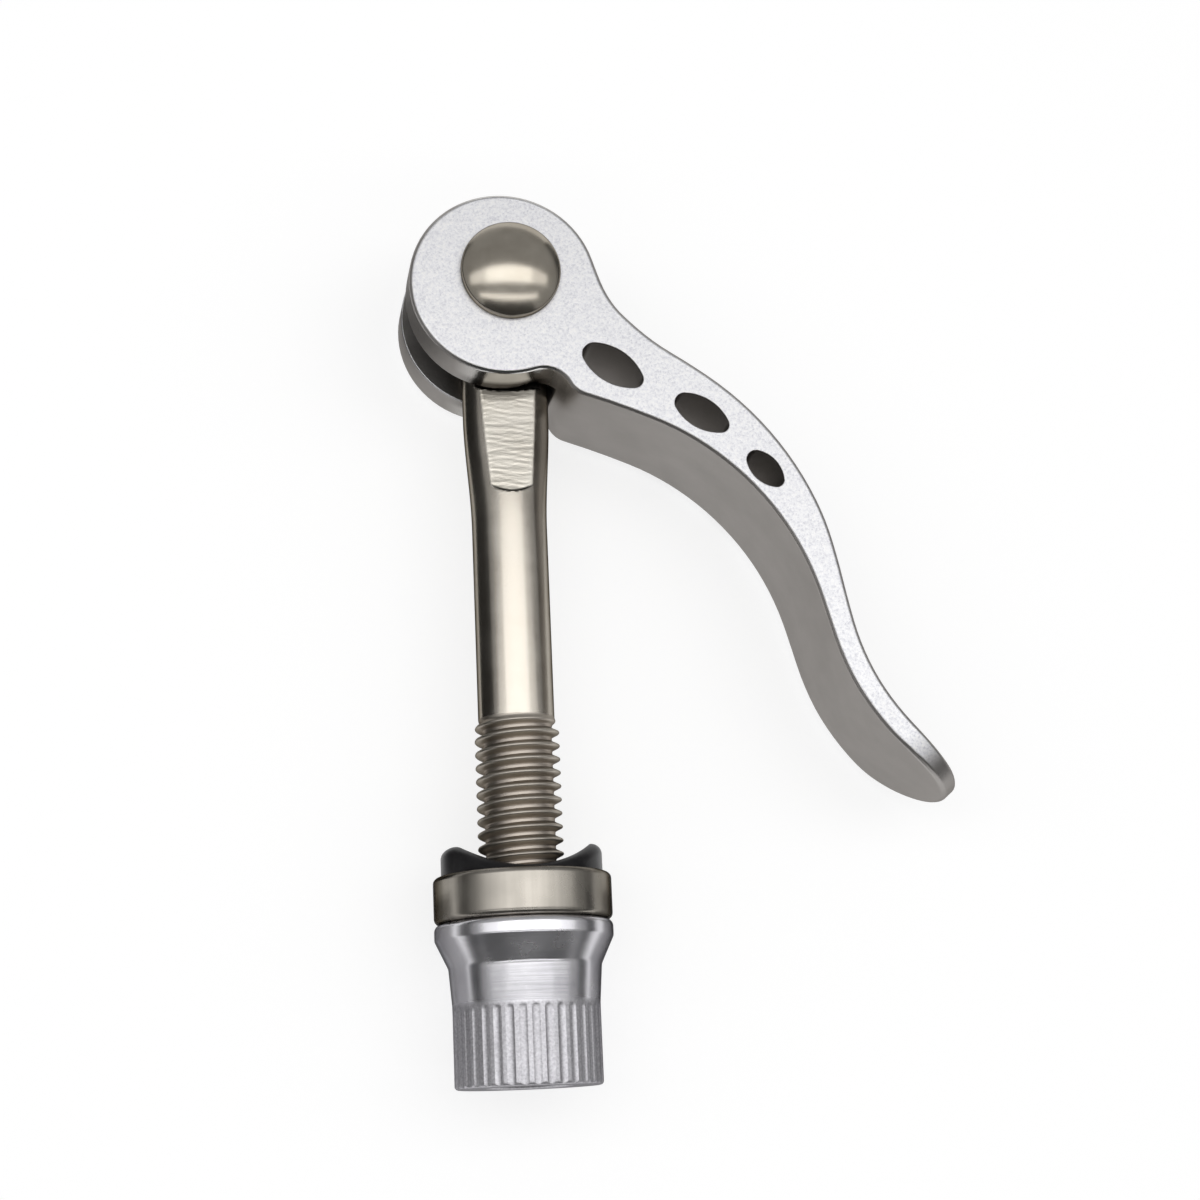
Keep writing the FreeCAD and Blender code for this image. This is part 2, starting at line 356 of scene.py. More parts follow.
# %% The bolt's eye
PIVOT_Y = 31.0
EYE_R = 6.5
EYE_BORE = 3.05
EYE_HALF_T = 2.75
EYE_SIDES = 120


def round_trip(outline):
    """The outline with its first point once more at the end."""
    return np.concatenate([outline, outline[:1]])


def turned(outline, angles):
    """An outline of radius and height, carried round the bolt's axis."""
    r, y = np.array(outline, float).T
    return lathe_points(r[:, None], y[:, None], angles)


def on_pin(grid):
    """A grid that was turned about the bolt's axis, stood up along the pin."""
    return grid[..., [0, 2, 1]] + np.array([0, PIVOT_Y, 0])


eye_corners = [
    (EYE_BORE, -EYE_HALF_T, 0.15),
    (EYE_R, -EYE_HALF_T, 0.4),
    (EYE_R, EYE_HALF_T, 0.4),
    (EYE_BORE, EYE_HALF_T, 0.15),
]
eye_outline = rounded(eye_corners)
eye = skin("bolt_eye", [on_pin(turned(round_trip(eye_outline), circle(EYE_SIDES)))])

# %% [markdown]
# The pin is a rivet with a polished dome in front. A sphere cut by a cylinder would leave a hard
# rim, so the dome's arc runs into a small arc that touches both the sphere and the rim, and a last
# arc curls the rim under, down to the lever's face.

# %% The pivot pin: its dome
FACE_Z = 7.5
DOME_R = 4.7
DOME_TOP = 10.1
DOME_RISE = 1.8
DOME_STEPS = 40
RIM_ROUND = 0.45
RIM_STEPS = 10
CURL_ROUND = 0.25
CURL_STEPS = 6
ball_r = (DOME_R ** 2 + DOME_RISE ** 2) / (2 * DOME_RISE)
ball_z = DOME_TOP - ball_r
rim_r = DOME_R - RIM_ROUND
meet = math.asin(rim_r / (ball_r - RIM_ROUND))
rim_z = ball_z + (ball_r - RIM_ROUND) * math.cos(meet)
dome_a = np.linspace(0, meet, DOME_STEPS)
dome = np.stack([ball_r * np.sin(dome_a), ball_z + ball_r * np.cos(dome_a)], -1)
rim_a = np.linspace(np.pi / 2 - meet, 0, RIM_STEPS)[1:]
rim = np.stack([rim_r + RIM_ROUND * np.cos(rim_a), rim_z + RIM_ROUND * np.sin(rim_a)], -1)
curl_a = np.linspace(0, np.pi / 2, CURL_STEPS)
curl_r = DOME_R - CURL_ROUND + CURL_ROUND * np.cos(curl_a)
curl_z = FACE_Z + CURL_ROUND - CURL_ROUND * np.sin(curl_a)
curl = np.stack([curl_r, curl_z], -1)
print("dome: ball of radius", round(ball_r, 2), "mm, rim at", round(math.degrees(meet)), "degrees")

# %% [markdown]
# Behind the dome a shaft runs through both cheeks and ends in a closed head with a bevel. These
# could be cylinders of their own, but the rivet is one piece of steel, so its outline just goes on
# from the dome's. It is drawn as a closed one, of which only the corners from the shaft to the far
# pole are kept; the points of the last corner are spread over the way to the axis.

# %% The pivot pin: its shaft and closed head
PIN_R = 2.99
TAIL_R = 4.3
TAIL_Z = -9.2
TAIL_RIM = -8.0
PIN_SIDES = 128
tail_corners = [
    (PIN_R, FACE_Z, 0),
    (PIN_R, -FACE_Z, 0.1),
    (TAIL_R, -FACE_Z, 0.1),
    (TAIL_R, TAIL_RIM, 0.4),
    (TAIL_R + TAIL_Z - TAIL_RIM, TAIL_Z, 0.4),
    (0, TAIL_Z, 0),
    (0, FACE_Z, 0),
]
tail = rounded(tail_corners)
tail = tail[PER_CORNER:-PER_CORNER]
tail[-PER_CORNER:, 0] = np.linspace(tail[-PER_CORNER, 0], 0, PER_CORNER)
pin_outline = np.concatenate([dome, rim, curl, [(PIN_R, FACE_Z)], tail])
pin = skin("pivot_pin_polished", [on_pin(turned(pin_outline, circle(PIN_SIDES)))])

# %% [markdown]
# Two washers are stacked on the nut. The lower one is a cup, turned from bar: a flat floor, a thin
# wall and a soft foot. A Solidify modifier could give the wall its thickness, but a closed outline
# gives each corner its own rounding.

# %% The cup washer
WASHER_BORE = 4.35
CUP_R = 8.15
CUP_LOW = -29.1
CUP_TOP = -24.85
CUP_FLOOR = -27.9
CUP_INSIDE = 7.4
CUP_SIDES = 160
cup_corners = [
    (WASHER_BORE, CUP_LOW, 0.1),
    (CUP_R, CUP_LOW, 0.6),
    (CUP_R, CUP_TOP, 0.5),
    (CUP_INSIDE, CUP_TOP, 0.08),
    (CUP_INSIDE, CUP_FLOOR, 0.1),
    (WASHER_BORE, CUP_FLOOR, 0.1),
]
cup_outline = rounded(cup_corners)
cup = skin("cup_washer_turned", [turned(round_trip(cup_outline), circle(CUP_SIDES))])

# %% [markdown]
# The black saddle fills the cup, and its top is hollowed to the round of the cam, so two horns rise
# left and right. A boolean with a cylinder would leave a sharp brow. Here the top is a height over
# the plane of the washer, found at each point from its distance to the cam's axis.

# %% The saddle washer
SADDLE_R = 7.39
SADDLE_TOP = -22.25
SADDLE_SIDES = 180
SADDLE_CREASE = 45
SEAT_R = 9.2
SEAT_HALF_W = 6.1
SEAT_Y = SADDLE_TOP + math.sqrt(SEAT_R ** 2 - SEAT_HALF_W ** 2)
SEAT_EDGE = 0.22
BROW = 0.9
BROW_R = SADDLE_R - BROW
BROW_STEPS = 9
BROW_GUARD = 0.05
CROWN_STEPS = 18
BORE_LIP = 0.02
BORE_DROP = 0.1


def saddle_top(x):
    """Height of the saddle over x: the flat top or the cam's hollow, whichever is lower."""
    return soft_min(SADDLE_TOP + 0 * x, SEAT_Y - np.sqrt(SEAT_R ** 2 - x ** 2), SEAT_EDGE)


saddle_a = circle(SADDLE_SIDES)
floor_y = np.full_like(saddle_a, CUP_FLOOR)
bend = np.linspace(0, np.pi / 2, BROW_STEPS)[:, None]
brow_r = BROW_R + BROW * np.cos(bend) + 0 * saddle_a
brow_y = saddle_top(BROW_R * np.sin(saddle_a)) - BROW + BROW * np.sin(bend)
crown_r = np.linspace(BROW_R, WASHER_BORE + BORE_LIP, CROWN_STEPS)[1:, None] + 0 * saddle_a
crown_y = saddle_top(crown_r * np.sin(saddle_a))
bore_r = np.full((3, 1), WASHER_BORE) + 0 * saddle_a
bore_y = np.stack([crown_y[-1] - BORE_DROP, crown_y[-1] - 2 * BORE_DROP, floor_y])
wall_r = np.array([[WASHER_BORE], [SADDLE_R], [SADDLE_R]]) + 0 * saddle_a
wall_y = np.stack([floor_y, floor_y, brow_y[0] - BROW_GUARD])
saddle_r = np.concatenate([wall_r, brow_r, crown_r, bore_r])
saddle_y = np.concatenate([wall_y, brow_y, crown_y, bore_y])
saddle = skin("saddle_washer_moulded", [lathe_points(saddle_r, saddle_y, saddle_a)], SADDLE_CREASE)

# %% [markdown]
# The nut is turned from bright aluminium: a collar, a cone under it, a neck that narrows slightly
# and a grip. Flutes will be cut into the grip, and they need many points. Subdividing the whole nut
# would give them, but also where nothing is cut, so only the outline's grip is made denser.

# %% The fluted nut: its outline
NUT_TOP = -29.1
NUT_END = -43.8
NUT_BORE = 4.0
COLLAR_R = 8.15
COLLAR_LOW = -30.55
NUT_NECK_R = 6.97
CONE_LOW = -33.05
GRIP_R = 6.7
GRIP_TOP = -36.45
OUTSIDE_R = 6.0
GRIP_SPACING = 0.11
WIDE_SPACING = 9.0
nut_corners = [
    (NUT_BORE, NUT_TOP, 0.1),
    (COLLAR_R, NUT_TOP, 0.6),
    (COLLAR_R, COLLAR_LOW, 0.5),
    (NUT_NECK_R, CONE_LOW, 0.9),
    (GRIP_R, GRIP_TOP, 0.2),
    (GRIP_R, NUT_END, 0.35),
    (NUT_BORE, NUT_END, 0.4),
]
nut_outline = rounded(nut_corners)


def dense(outline, spacing):
    """Outline with more points on its sides, as many as its length over the spacing there."""
    stops = np.roll(outline, -1, 0)
    parts = np.ceil(np.linalg.norm(stops - outline, axis=1) / spacing).astype(int).clip(1)
    share = np.arange(parts.sum()) - np.repeat(np.cumsum(parts) - parts, parts)
    share = (share / np.repeat(parts, parts))[:, None]
    return np.repeat(outline, parts, 0) + share * np.repeat(stops - outline, parts, 0)


on_grip = (nut_outline[:, 0] > OUTSIDE_R) & (nut_outline[:, 1] < GRIP_TOP)
nut_outline = dense(nut_outline, np.where(on_grip, GRIP_SPACING, WIDE_SPACING))
print("nut outline:", len(nut_outline), "points")

# %% [markdown]
# The grip has 36 flutes. A ball-nosed cutter leaves each flute with a round top. Booleans with 36
# cutters would be slow and leave ragged edges. So the turned outline is carried round, and each
# point is pulled in to the cutter's surface where that lies deeper. The angles are not even: more
# of them lie where a flute's edges are.

# %% The fluted nut: its flutes
FLUTES = 36
CUTTER_R = 0.65
FLUTE_DEPTH = 0.13
NUT_CREASE = 32
half_flute = np.array([0.1, 0.2, 0.28, 0.33, 0.345, 0.36, 0.42])
one_flute = np.concatenate([[-0.5], -half_flute[::-1], [0], half_flute])
nut_a = (np.arange(FLUTES)[:, None] + one_flute).ravel() * 2 * np.pi / FLUTES
nut_a = np.append(nut_a, nut_a[0] + 2 * np.pi)
nut_r, nut_y = (c[:, None] for c in round_trip(nut_outline).T)
flute_pitch = 2 * np.pi * GRIP_R / FLUTES
off_flute = np.append(np.tile(one_flute, FLUTES), one_flute[0]) * flute_pitch
past_top = np.maximum(nut_y - (GRIP_TOP - CUTTER_R), 0)
reach = CUTTER_R ** 2 - off_flute ** 2 - past_top ** 2
cutter = GRIP_R - FLUTE_DEPTH + CUTTER_R - np.sqrt(np.maximum(reach, 0))
fluted_r = np.where((reach > 0) & (nut_r > OUTSIDE_R), np.minimum(nut_r, cutter), nut_r)
nut = skin("fluted_nut_turned", [lathe_points(fluted_r, nut_y, nut_a)], NUT_CREASE)

# %% [markdown]
# The lever's solid already has its true form, with the bevel on its rims. It could be drawn again
# as a surface, but the fork and the holes would have to match the solid exactly, so its packed mesh
# is copied and merged. On the level faces the triangles are joined into whole faces, because a
# bevel beside long thin triangles would crease; the curved walls stay as they are.

# %% The lever's packed mesh, made whole
MERGE_LEVER = 1e-6  # in metres
SAME_PLANE = 0.3  # in degrees
LEVEL = 0.9999
shell = bmesh.new()
shell.from_mesh(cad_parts["cam_lever"].data)
bmesh.ops.remove_doubles(shell, verts=shell.verts[:], dist=MERGE_LEVER)
level = [e for e in shell.edges if all(abs(f.normal.z) > LEVEL for f in e.link_faces)]
bmesh.ops.dissolve_limit(shell, angle_limit=math.radians(SAME_PLANE), verts=[], edges=level)
shell.verts.index_update()
corners = [v.co[:] for v in shell.verts]
loops = [[v.index for v in f.verts] for f in shell.faces]
shell.free()
lever_mesh = bpy.data.meshes.new("cam_lever_tumbled")
lever_mesh.from_pydata(corners, [], loops)
lever_mesh.shade_smooth()
lever = put_in("cam_lever_tumbled", lever_mesh)
print("lever corners:", len(corners), "faces:", len(loops))

# %% [markdown]
# What tumbling adds to the cut lever is one last small rounding of every edge, and that draws a
# thread of light along the fork. The solid could carry it, at the cost of many small faces. A Bevel
# modifier does it here by about a seventh of a millimetre, and its hardened normals keep the broad
# faces flat to the eye.

# %% The lever's tumbled edges
EDGE_ROUND = 0.14
EDGE_ANGLE = 30  # in degrees
EDGE_STEPS = 3
tumbled = lever.modifiers.new("tumbled", "BEVEL")
tumbled.limit_method = "ANGLE"
tumbled.angle_limit = math.radians(EDGE_ANGLE)
tumbled.width = EDGE_ROUND * MM
tumbled.segments = EDGE_STEPS
tumbled.use_clamp_overlap = False
tumbled.harden_normals = True
print("lever edges rounded by", EDGE_ROUND, "mm")

# %% [markdown]
# Each piece now rides on the body that moves it and stands for its packed solid, which is hidden.
# The bolt is two pieces for one solid, because it was turned on two axes.

# %% Hang the pieces on their bodies
dressed = [
    (shaft, "bolt", "eye_bolt", "nickel"),
    (eye, "bolt", "eye_bolt", "nickel"),
    (lever, "lever", "cam_lever", "lever_alloy"),
    (pin, "lever", "pivot_pin", "polished_nickel"),
    (cup, "washers", "cup_washer", "nickel"),
    (saddle, "washers", "saddle_washer", "black_plastic"),
    (nut, "nut", "fluted_nut", "nut_alloy"),
]
for piece, body, node, finish in dressed:
    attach(piece, body)
    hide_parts(node)
    print(piece.name, "rides on", body)

# %% [markdown]
# Paints and finishes are built from nodes. A picture could be painted for each piece instead, but
# nodes need no unwrapping and stay sharp from near. A small helper adds one node with its settings
# and wires it, so that each paint reads as a list.


# %% A helper for paints
class Paint:
    """One material: its shader takes plain numbers, and nodes are added one line at a time."""

    def __init__(self, name, **sockets):
        self.material = bpy.data.materials.new(name)
        self.material.use_nodes = True
        self.tree = self.material.node_tree
        self.shader = self.tree.nodes["Principled BSDF"]
        for socket, value in sockets.items():
            self.shader.inputs[socket.replace("_", " ")].default_value = value

    def add(self, kind, inputs=None, **settings):
        """A node of one kind; an input given as an output is wired, and anything else is set."""
        node = self.tree.nodes.new("ShaderNode" + kind)
        for key, value in settings.items():
            setattr(node, key, value)
        for key, value in (inputs or {}).items():
            if isinstance(value, bpy.types.NodeSocket):
                self.tree.links.new(value, node.inputs[key])
            else:
                node.inputs[key].default_value = value
        return node

    def math(self, operation, *values):
        """One sum on values, such as MULTIPLY, or MULTIPLY_ADD of the first two and the third."""
        return self.add("Math", dict(enumerate(values)), operation=operation).outputs[0]

    def span(self, value, low, high, to_low, to_high):
        """The value's range from low to high, mapped to another range and held there."""
        inputs = {"Value": value, "From Min": low, "From Max": high, "To Min": to_low, "To Max": to_high}
        return self.add("MapRange", inputs).outputs[0]

    def wire(self, **sockets):
        """Outputs wired to the shader's sockets."""
        for socket, output in sockets.items():
            self.tree.links.new(output, self.shader.inputs[socket.replace("_", " ")])
        print("finish:", self.material.name, "with", len(self.tree.nodes), "nodes")
        return self.material


print("a paint can", [name for name in vars(Paint) if not name.startswith("_")])

# %% [markdown]
# A metal's colour is the colour of its reflection, and what makes it look real is how the roughness
# and the fine relief change over the surface. So a finish is a paint that also knows noise on the
# piece's own coordinates, colours between two tones, and relief. Generated coordinates would do on
# one piece, but they stretch with its box, so grain would differ from piece to piece.

# %% A helper for finishes
NOISE_LOW = 0.3
NOISE_HIGH = 0.7


class Finish(Paint):
    """The finish of a piece, from noise on the piece's own coordinates."""

    def __init__(self, name, **sockets):
        super().__init__(name, **sockets)
        self.place = self.add("TexCoord").outputs["Object"]

    def mark(self, label):
        """The share that the mesh itself holds at each point."""
        return self.add("Attribute", attribute_name=label).outputs["Fac"]

    def noise(self, scale, stretch=(1, 1, 1), detail=3.0, rough=0.55):
        """Noise of about that many grains in a metre, stretched along the axes."""
        place = self.add("Mapping", {"Vector": self.place, "Scale": stretch})
        inputs = {"Vector": place.outputs[0], "Scale": scale, "Detail": detail, "Roughness": rough}
        return self.add("TexNoise", inputs).outputs["Fac"]

    def ramp(self, value, *stops):
        """Colours at the given places of the value's range."""
        node = self.add("ValToRGB", {"Fac": value})
        elements = node.color_ramp.elements
        for _ in stops[2:]:
            elements.new(0.5)
        for element, (at, colour) in zip(elements, stops):
            element.position = at
            element.color = (*colour, 1)
        return node.outputs["Color"]

    def tint(self, value, dark, light, low=NOISE_LOW, high=NOISE_HIGH):
        """From a dark to a light colour, over the range in which most of the noise lies."""
        return self.ramp(value, (low, dark), (high, light))

    def mix(self, share, under, over):
        """One colour over another, by the share that it covers."""
        inputs = {"Factor": share, "A": under, "B": over}
        return self.add("Mix", inputs, data_type="RGBA").outputs["Result"]

    def relief(self, height, distance, strength=1.0, under=None):
        """Bump of that height in millimetres, over another relief if one is given."""
        inputs = {"Height": height, "Distance": distance * MM, "Strength": strength}
        if under is not None:
            inputs["Normal"] = under
        return self.add("Bump", inputs).outputs[0]


print("a finish can also", [name for name in vars(Finish) if not name.startswith("_")])

# %% [markdown]
# Nickel plate is a warm grey mirror over the marks of the steel under it: faint draw lines along
# the shank, strokes across the flats. A picture of drawn steel would repeat; noise that is
# stretched along one axis doesn't. The marks on the mesh say where the plate is bright, darker, or
# painted black as shade, and the dark tint at grazing angles is painted shade that deepens the rim
# of the round bar.

# %% Nickel plate on the bolt
# painted shade: a near-black tint at grazing angles darkens the rims of the metal pieces
RIM_SHADE_TINT = (0.03, 0.03, 0.03, 1)
STRUCK_ROUGHER = 0.1
THREAD_ROUGHER = 0.18
plate = Finish("nickel_plate", Metallic=1.0, Specular_Tint=RIM_SHADE_TINT)
clouds = plate.noise(260, detail=4)
drawn = plate.noise(1500, stretch=(1, 0.04, 1), detail=2)
pits = plate.noise(5200, detail=2)
struck = plate.mark("struck")
clean = plate.tint(clouds, (0.56, 0.515, 0.45), (0.66, 0.615, 0.545))
pressed = plate.tint(clouds, (0.70, 0.66, 0.58), (0.84, 0.80, 0.72))
# a darker tone, used towards the thread's root, by the valley's depth
darker_tone = plate.tint(clouds, (0.47, 0.42, 0.365), (0.57, 0.515, 0.455))
# painted shade: the black for the recess above the flat and the line at the lower ledge
painted_shade_black = plate.tint(clouds, (0.03, 0.028, 0.025), (0.06, 0.055, 0.05))
colour = plate.mix(struck, clean, pressed)
colour = plate.mix(plate.mark("valley"), colour, darker_tone)
colour = plate.mix(plate.mark("gap"), colour, painted_shade_black)
strokes = plate.noise(1500, stretch=(0.3, 1, 1), detail=4, rough=0.65)
strokes = plate.math("MULTIPLY", strokes, struck)
relief = plate.relief(drawn, 0.006)
relief = plate.relief(strokes, 0.03, under=relief)
relief = plate.relief(pits, 0.004, under=relief)
rough = plate.span(clouds, NOISE_LOW, NOISE_HIGH, 0.18, 0.27)
rough = plate.math("MULTIPLY_ADD", struck, STRUCK_ROUGHER, rough)
rough = plate.math("MULTIPLY_ADD", plate.mark("threaded"), THREAD_ROUGHER, rough)
nickel = plate.wire(Base_Color=colour, Roughness=rough, Normal=relief)

# %% [markdown]
# The cup is plated too, but it was turned first, so fine lines run round it and soft streaks stand
# along its wall. An anisotropic shader could stretch the highlights, but lines in the relief also
# break up the mirror image. The dome was buffed last: it is the smoothest surface, with only faint
# scratches.

# %% Turned and buffed nickel
cup_plate = Finish("nickel_turned", Metallic=1.0, Specular_Tint=RIM_SHADE_TINT)
clouds = cup_plate.noise(320, detail=4)
turned_lines = cup_plate.noise(700, stretch=(0.15, 6, 0.15), detail=2)
streaks = cup_plate.noise(420, stretch=(1, 0.03, 1), detail=3)
colour = cup_plate.tint(streaks, (0.31, 0.29, 0.255), (0.45, 0.42, 0.375), low=0.36, high=0.64)
rough = cup_plate.span(clouds, NOISE_LOW, NOISE_HIGH, 0.24, 0.34)
relief = cup_plate.relief(turned_lines, 0.002)
turned_nickel = cup_plate.wire(Base_Color=colour, Roughness=rough, Normal=relief)

buffed = Finish("nickel_buffed", Metallic=1.0, Specular_Tint=RIM_SHADE_TINT)
clouds = buffed.noise(420, detail=4)
scratch = buffed.noise(1900, stretch=(0.1, 2.5, 1), detail=2)
colour = buffed.tint(clouds, (0.49, 0.445, 0.375), (0.58, 0.535, 0.46))
rough = buffed.span(clouds, NOISE_LOW, NOISE_HIGH, 0.17, 0.24)
relief = buffed.relief(scratch, 0.002)
polished_nickel = buffed.wire(Base_Color=colour, Roughness=rough, Normal=relief)

# %% [markdown]
# The lever is cut from an aluminium bar and has two finishes: its broad faces are blasted, its edges
# all round are tumbled and smoother, and their darker colour is painted shade. Two materials on two
# sets of faces would do, but the round edges lie between both. So one material looks at which way
# the surface faces on the lever itself, and at the distance to the pin: the finish then stays put
# when the lever swings.

# %% The lever's alloy: where it is
# painted shade: the grey tint at grazing angles darkens the lever's rims
alloy = Finish("lever_alloy_blasted", Metallic=1.0, Specular_Tint=(0.35, 0.34, 0.33, 1))
facing = alloy.add("TexCoord").outputs["Normal"]
facing = alloy.add("SeparateXYZ", {"Vector": facing}).outputs["Z"]
facing = alloy.math("ABSOLUTE", facing)
place = alloy.add("SeparateXYZ", {"Vector": alloy.place}).outputs
height = alloy.math("ABSOLUTE", place["Z"])
aside = alloy.math("ABSOLUTE", place["X"])
outside = alloy.span(height, 5 * MM, 7 * MM, 0, 1)
broad = alloy.math("MULTIPLY", alloy.span(facing, 0.8, 0.95, 0, 1), outside)
to_pin = {0: alloy.place, 1: (1, 1, 0), 2: (0, -PIVOT_Y * MM, 0)}
to_pin = alloy.add("VectorMath", to_pin, operation="MULTIPLY_ADD").outputs["Vector"]
to_pin = alloy.add("VectorMath", {0: to_pin}, operation="LENGTH").outputs["Value"]
print("places on the lever, from", len(alloy.tree.nodes), "nodes")

# %% [markdown]
# Use leaves its marks on the lever: the cam's track is rubbed bright where the saddle slides on it.
# Next to the slot the track is painted dark as shade, the slot's inside is painted dark as shade, and
# its edges carry a painted highlight. Painted masks would look the same, but they need unwrapping.
# Here each mark is a product of simple fades in millimetres, and each fade is wide enough not to look
# painted.

# %% The lever's alloy: rubbed, with painted shade and a painted highlight
SLOT_HALF = 2.915
SLOT_FADE = 0.013
pocket = alloy.span(to_pin, 7.2 * MM, 7.4 * MM, 1, 0)
behind = alloy.span(place["X"], 0.2 * MM, 0.4 * MM, 1, 0)
pocket = alloy.math("MAXIMUM", pocket, behind)
# painted shade: the slot's inside is made dark
painted_slot_shade = alloy.span(height, (SLOT_HALF - SLOT_FADE) * MM, SLOT_HALF * MM, 1, 0)
painted_slot_shade = alloy.math("MULTIPLY", painted_slot_shade, pocket)
# painted highlight: the slot's edges take the bright colour of the faces
painted_edge_highlight = alloy.span(height, SLOT_HALF * MM, 3.15 * MM, 1, 0)
painted_edge_highlight = alloy.math("MULTIPLY", painted_edge_highlight, pocket)
track = alloy.span(aside, 2.6 * MM, 5.4 * MM, 1, 0)
cam = alloy.span(to_pin, 10.4 * MM, 10.8 * MM, 1, 0)
cam = alloy.math("MULTIPLY", cam, track)
cam = alloy.math("MULTIPLY", cam, alloy.span(broad, 0, 1, 1, 0))
# painted shade: the track beside the slot is made dark
painted_cam_shade = alloy.span(height, 4.0 * MM, 5.0 * MM, 1, 0)
painted_cam_shade = alloy.math("MULTIPLY", cam, painted_cam_shade)
print("slot of the fork:", 2 * SLOT_HALF, "mm wide")

# %% [markdown]
# Now the two finishes themselves: a bright sparkling grain on the faces and a satin on the edges,
# whose darker colour is painted shade. Two noises could drive the colour and the relief, but then the
# specks would look printed on. One fine noise drives both, so that each bright speck is also a small
# facet.

# %% The lever's alloy: blasted and tumbled
RUBBED_SMOOTHER = -0.26
grain = alloy.noise(4200, detail=3, rough=0.7)
blotch = alloy.noise(210, detail=5, rough=0.6)
sparkle = [(0.32, (0.68, 0.68, 0.72)), (0.5, (0.86, 0.86, 0.88)), (0.68, (0.95, 0.94, 0.93))]
bright = alloy.ramp(grain, *sparkle)
# painted shade: the walls and edges take a darker copy of the alloy's colour
satin_painted_shade = alloy.tint(blotch, (0.40, 0.385, 0.37), (0.46, 0.44, 0.425), low=0.25)
# painted shade: the dark tone for the slot's inside and the track beside it
darker_tone = alloy.tint(blotch, (0.11, 0.104, 0.098), (0.19, 0.182, 0.175), low=0.25, high=0.6)
rubbed = alloy.tint(blotch, (0.66, 0.65, 0.63), (0.78, 0.77, 0.75), low=0.25, high=0.6)
colour = alloy.mix(cam, satin_painted_shade, rubbed)
colour = alloy.mix(painted_edge_highlight, colour, bright)
colour = alloy.mix(painted_cam_shade, colour, darker_tone)
colour = alloy.mix(painted_slot_shade, colour, darker_tone)
colour = alloy.mix(broad, colour, bright)
relief = alloy.relief(grain, 0.02, strength=0.8)
rough = alloy.span(broad, 0, 1, 0.4, 0.46)
rough = alloy.math("MULTIPLY_ADD", cam, RUBBED_SMOOTHER, rough)
lever_alloy = alloy.wire(Base_Color=colour, Roughness=rough, Normal=relief)

# %% [markdown]
# The nut is the same metal, turned bright: fine lines run round it, and its colour is a little
# colder. The cut flutes are duller and speckled. They could take a second material slot, but the
# change is at one height, so one fade there gives the grip its own colour and roughness.

# %% Bright turned aluminium on the nut
GRIP_FADE = 0.2
GRIP_ROUGHER = 0.18
bright_alloy = Finish("nut_alloy_turned", Metallic=1.0, Specular_Tint=RIM_SHADE_TINT)
clouds = bright_alloy.noise(300, detail=4)
lines = bright_alloy.noise(900, stretch=(0.12, 5, 0.12), detail=1)
specks = bright_alloy.noise(4200, detail=3, rough=0.65)
grip = bright_alloy.add("SeparateXYZ", {"Vector": bright_alloy.place}).outputs["Y"]
grip = bright_alloy.span(grip, (GRIP_TOP - GRIP_FADE) * MM, (GRIP_TOP + GRIP_FADE) * MM, 1, 0)
smooth = bright_alloy.tint(clouds, (0.75, 0.74, 0.78), (0.90, 0.89, 0.92))
cut = bright_alloy.tint(specks, (0.50, 0.49, 0.52), (0.76, 0.75, 0.78))
colour = bright_alloy.mix(grip, smooth, cut)
relief = bright_alloy.relief(lines, 0.004)
cut_specks = bright_alloy.math("MULTIPLY", specks, grip)
relief = bright_alloy.relief(cut_specks, 0.006, under=relief)
rough = bright_alloy.span(clouds, NOISE_LOW, NOISE_HIGH, 0.23, 0.28)
rough = bright_alloy.math("MULTIPLY_ADD", grip, GRIP_ROUGHER, rough)
nut_alloy = bright_alloy.wire(Base_Color=colour, Roughness=rough, Normal=relief)

# %% [markdown]
# The saddle washer is moulded black plastic. One flat black would do from afar, but real black
# plastic is never quite black, and its skin has the fine orange peel of the mould, which breaks up
# its soft sheen.

# %% Black plastic on the saddle washer
moulded = Finish("black_plastic_moulded", Specular_IOR_Level=0.2)
clouds = moulded.noise(380, detail=4)
orange_peel = moulded.noise(2600, detail=3)
colour = moulded.tint(clouds, (0.010, 0.010, 0.011), (0.022, 0.021, 0.022))
relief = moulded.relief(orange_peel, 0.01, strength=0.6)
rough = moulded.span(clouds, NOISE_LOW, NOISE_HIGH, 0.3, 0.42)
black_plastic = moulded.wire(Base_Color=colour, Roughness=rough, Normal=relief)

# %% [markdown]
# Each piece is one metal or one plastic, so it takes one material. The bolt's two pieces share
# theirs, which hides the place where they meet.

# %% Give each piece its finish
finishes = [
    (shaft, nickel),
    (eye, nickel),
    (pin, polished_nickel),
    (cup, turned_nickel),
    (saddle, black_plastic),
    (nut, nut_alloy),
    (lever, lever_alloy),
]
for piece, material in finishes:
    piece.data.materials.clear()
    piece.data.materials.append(material)
    print(piece.name, "wears", material.name)

# %% [markdown]
# The binder lies on a white table, as on a product picture. More light would whiten the table, but
# it would also burn out the metal. So a part of the table glows by itself, for the camera and in
# reflections: it comes out white while the lamps stay at a plain level, and the shadow still shows.

# %% The table
TABLE_Z = -9.2
FAR = 6000
WHITE = 0.9
MATT = 0.9
GLOW = 1.2
GLOW_SHARE = 0.6


def matt_paint(name, tone):
    """A grey paint without gloss, from black at 0 to white at 1."""
    grey = (tone, tone, tone, 1)
    return Paint(name + "_paint", Base_Color=grey, Roughness=MATT, Specular_IOR_Level=0.0)


def board(name, corners, paint):
    """A flat four-cornered sheet for the studio, given by its corners in millimetres."""
    mesh = bpy.data.meshes.new(name)
    mesh.from_pydata([tuple(c * MM for c in corner) for corner in corners], [], [(0, 1, 2, 3)])
    mesh.materials.append(paint.material)
    sheet = put_in(name, mesh)
    return sheet


